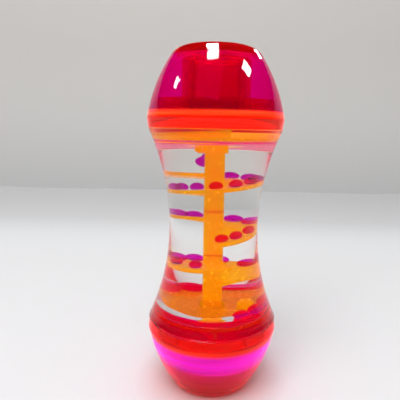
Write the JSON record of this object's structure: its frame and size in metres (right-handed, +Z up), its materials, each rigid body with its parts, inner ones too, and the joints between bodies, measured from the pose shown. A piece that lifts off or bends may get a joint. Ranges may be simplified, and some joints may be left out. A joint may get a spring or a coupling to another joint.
{
  "type": "liquid motion timer",
  "caption": "Hourglass-shaped desk timer that stands on either domed cap; drops of coloured liquid fall and roll down spiral ramps in a clear liquid.",
  "frame": {"origin": "centre of the face the timer stands on", "axes": "+Z up along the axis, -Y towards the front of the picture, +X to its right"},
  "size_m": [0.0572, 0.0572, 0.147],
  "materials": {
    "clear_wall": "clear polished acrylic",
    "cap_plastic": "tinted see-through gloss",
    "inner_plastic": "tinted gloss",
    "ramp_plastic": "tinted gloss",
    "coloured_liquid": "wet and clear"
  },
  "bodies": {
    "case": {"clear_body": "clear_wall", "top_cap": "cap_plastic", "bottom_cap": "cap_plastic", "top_end_disc": "inner_plastic", "bottom_end_disc": "inner_plastic", "fill_plug": "inner_plastic", "top_reservoir_plate": "inner_plastic", "bottom_reservoir_plate": "inner_plastic", "top_nozzle": "inner_plastic", "bottom_nozzle": "inner_plastic", "upper_ramp": "ramp_plastic", "middle_ramp": "ramp_plastic", "lower_ramp": "ramp_plastic", "upper_pool": "coloured_liquid", "lower_pool": "coloured_liquid", "landed_drops": "coloured_liquid"},
    "falling_drop": {"falling_drop": "coloured_liquid"},
    "upper_drop_1": {"upper_drop_1": "coloured_liquid"},
    "upper_drop_2": {"upper_drop_2": "coloured_liquid"},
    "upper_drop_3": {"upper_drop_3": "coloured_liquid"},
    "upper_drop_4": {"upper_drop_4": "coloured_liquid"},
    "upper_drop_5": {"upper_drop_5": "coloured_liquid"},
    "upper_drop_6": {"upper_drop_6": "coloured_liquid"},
    "upper_drop_7": {"upper_drop_7": "coloured_liquid"},
    "upper_drop_8": {"upper_drop_8": "coloured_liquid"},
    "upper_drop_9": {"upper_drop_9": "coloured_liquid"},
    "middle_drop_1": {"middle_drop_1": "coloured_liquid"},
    "middle_drop_2": {"middle_drop_2": "coloured_liquid"},
    "middle_drop_3": {"middle_drop_3": "coloured_liquid"},
    "middle_drop_4": {"middle_drop_4": "coloured_liquid"},
    "middle_drop_5": {"middle_drop_5": "coloured_liquid"},
    "middle_drop_6": {"middle_drop_6": "coloured_liquid"},
    "middle_drop_7": {"middle_drop_7": "coloured_liquid"},
    "middle_drop_8": {"middle_drop_8": "coloured_liquid"},
    "lower_drop_1": {"lower_drop_1": "coloured_liquid"},
    "lower_drop_2": {"lower_drop_2": "coloured_liquid"},
    "lower_drop_3": {"lower_drop_3": "coloured_liquid"},
    "lower_drop_4": {"lower_drop_4": "coloured_liquid"},
    "lower_drop_5": {"lower_drop_5": "coloured_liquid"},
    "lower_drop_6": {"lower_drop_6": "coloured_liquid"}
  },
  "joints": [
    {"name": "upper_roll", "type": "hinge", "parent": "case", "child": "upper_drop_1", "pos_m": [0, 0, 0.09513], "axis": [-0.0862, 0.0478, -0.9951], "range_deg": [0, 20]},
    {"name": "upper_roll_2", "type": "hinge", "parent": "case", "child": "upper_drop_2", "pos_m": [0, 0, 0.09442], "axis": [-0.0508, 0.0845, -0.9951], "range_deg": [0, 20]},
    {"name": "upper_roll_3", "type": "hinge", "parent": "case", "child": "upper_drop_3", "pos_m": [0, 0, 0.09373], "axis": [-0.0017, 0.0985, -0.9951], "range_deg": [0, 20]},
    {"name": "upper_roll_4", "type": "hinge", "parent": "case", "child": "upper_drop_4", "pos_m": [0, 0, 0.093], "axis": [0.0493, 0.0853, -0.9951], "range_deg": [0, 20]},
    {"name": "upper_roll_5", "type": "hinge", "parent": "case", "child": "upper_drop_5", "pos_m": [0, 0, 0.09219], "axis": [0.0893, 0.0416, -0.9951], "range_deg": [0, 20]},
    {"name": "upper_roll_6", "type": "hinge", "parent": "case", "child": "upper_drop_6", "pos_m": [0, 0, 0.09144], "axis": [0.0978, -0.012, -0.9951], "range_deg": [0, 20]},
    {"name": "upper_roll_7", "type": "hinge", "parent": "case", "child": "upper_drop_7", "pos_m": [0, 0, 0.09074], "axis": [0.0787, -0.0593, -0.9951], "range_deg": [0, 20]},
    {"name": "upper_roll_8", "type": "hinge", "parent": "case", "child": "upper_drop_8", "pos_m": [0, 0, 0.09001], "axis": [0.0369, -0.0914, -0.9951], "range_deg": [0, 20]},
    {"name": "upper_roll_9", "type": "hinge", "parent": "case", "child": "upper_drop_9", "pos_m": [0, 0, 0.08943], "axis": [-0.0052, -0.0984, -0.9951], "range_deg": [0, 20]},
    {"name": "middle_roll", "type": "hinge", "parent": "case", "child": "middle_drop_1", "pos_m": [0, 0, 0.07697], "axis": [-0.0695, -0.1203, -0.9903], "range_deg": [-20, 0]},
    {"name": "middle_roll_2", "type": "hinge", "parent": "case", "child": "middle_drop_2", "pos_m": [0, 0, 0.07615], "axis": [-0.1138, -0.0797, -0.9903], "range_deg": [-20, 0]},
    {"name": "middle_roll_3", "type": "hinge", "parent": "case", "child": "middle_drop_3", "pos_m": [0, 0, 0.07535], "axis": [-0.1364, -0.0265, -0.9903], "range_deg": [-20, 0]},
    {"name": "middle_roll_4", "type": "hinge", "parent": "case", "child": "middle_drop_4", "pos_m": [0, 0, 0.07456], "axis": [-0.1354, 0.0312, -0.9903], "range_deg": [-20, 0]},
    {"name": "middle_roll_5", "type": "hinge", "parent": "case", "child": "middle_drop_5", "pos_m": [0, 0, 0.07367], "axis": [-0.1064, 0.0893, -0.9903], "range_deg": [-20, 0]},
    {"name": "middle_roll_6", "type": "hinge", "parent": "case", "child": "middle_drop_6", "pos_m": [0, 0, 0.07172], "axis": [0.0217, 0.1372, -0.9903], "range_deg": [-20, 0]},
    {"name": "middle_roll_7", "type": "hinge", "parent": "case", "child": "middle_drop_7", "pos_m": [0, 0, 0.07066], "axis": [0.0911, 0.1048, -0.9903], "range_deg": [-20, 0]},
    {"name": "middle_roll_8", "type": "hinge", "parent": "case", "child": "middle_drop_8", "pos_m": [0, 0, 0.06983], "axis": [0.1269, 0.0565, -0.9903], "range_deg": [-20, 0]},
    {"name": "lower_roll", "type": "hinge", "parent": "case", "child": "lower_drop_1", "pos_m": [0, 0, 0.05743], "axis": [0.0905, -0.0707, -0.9934], "range_deg": [0, 20]},
    {"name": "lower_roll_2", "type": "hinge", "parent": "case", "child": "lower_drop_2", "pos_m": [0, 0, 0.05615], "axis": [0.01, -0.1144, -0.9934], "range_deg": [0, 20]},
    {"name": "lower_roll_3", "type": "hinge", "parent": "case", "child": "lower_drop_3", "pos_m": [0, 0, 0.05463], "axis": [-0.0892, -0.0722, -0.9934], "range_deg": [0, 20]},
    {"name": "lower_roll_4", "type": "hinge", "parent": "case", "child": "lower_drop_4", "pos_m": [0, 0, 0.05392], "axis": [-0.1118, -0.0258, -0.9934], "range_deg": [0, 20]},
    {"name": "lower_roll_5", "type": "hinge", "parent": "case", "child": "lower_drop_5", "pos_m": [0, 0, 0.05307], "axis": [-0.1092, 0.0355, -0.9934], "range_deg": [0, 20]},
    {"name": "lower_roll_6", "type": "hinge", "parent": "case", "child": "lower_drop_6", "pos_m": [0, 0, 0.05207], "axis": [-0.0658, 0.094, -0.9934], "range_deg": [0, 20]},
    {"name": "drip_fall", "type": "slide", "parent": "case", "child": "falling_drop", "axis": [0, 0, -1], "range_m": [0, 0.0039]}
  ],
  "couplings": [
    {"joint": "upper_roll_2", "follows": "upper_roll", "ratio": 1},
    {"joint": "upper_roll_3", "follows": "upper_roll", "ratio": 1},
    {"joint": "upper_roll_4", "follows": "upper_roll", "ratio": 1},
    {"joint": "upper_roll_5", "follows": "upper_roll", "ratio": 1},
    {"joint": "upper_roll_6", "follows": "upper_roll", "ratio": 1},
    {"joint": "upper_roll_7", "follows": "upper_roll", "ratio": 1},
    {"joint": "upper_roll_8", "follows": "upper_roll", "ratio": 1},
    {"joint": "upper_roll_9", "follows": "upper_roll", "ratio": 1},
    {"joint": "middle_roll_2", "follows": "middle_roll", "ratio": 1},
    {"joint": "middle_roll_3", "follows": "middle_roll", "ratio": 1},
    {"joint": "middle_roll_4", "follows": "middle_roll", "ratio": 1},
    {"joint": "middle_roll_5", "follows": "middle_roll", "ratio": 1},
    {"joint": "middle_roll_6", "follows": "middle_roll", "ratio": 1},
    {"joint": "middle_roll_7", "follows": "middle_roll", "ratio": 1},
    {"joint": "middle_roll_8", "follows": "middle_roll", "ratio": 1},
    {"joint": "lower_roll_2", "follows": "lower_roll", "ratio": 1},
    {"joint": "lower_roll_3", "follows": "lower_roll", "ratio": 1},
    {"joint": "lower_roll_4", "follows": "lower_roll", "ratio": 1},
    {"joint": "lower_roll_5", "follows": "lower_roll", "ratio": 1},
    {"joint": "lower_roll_6", "follows": "lower_roll", "ratio": 1}
  ]
}
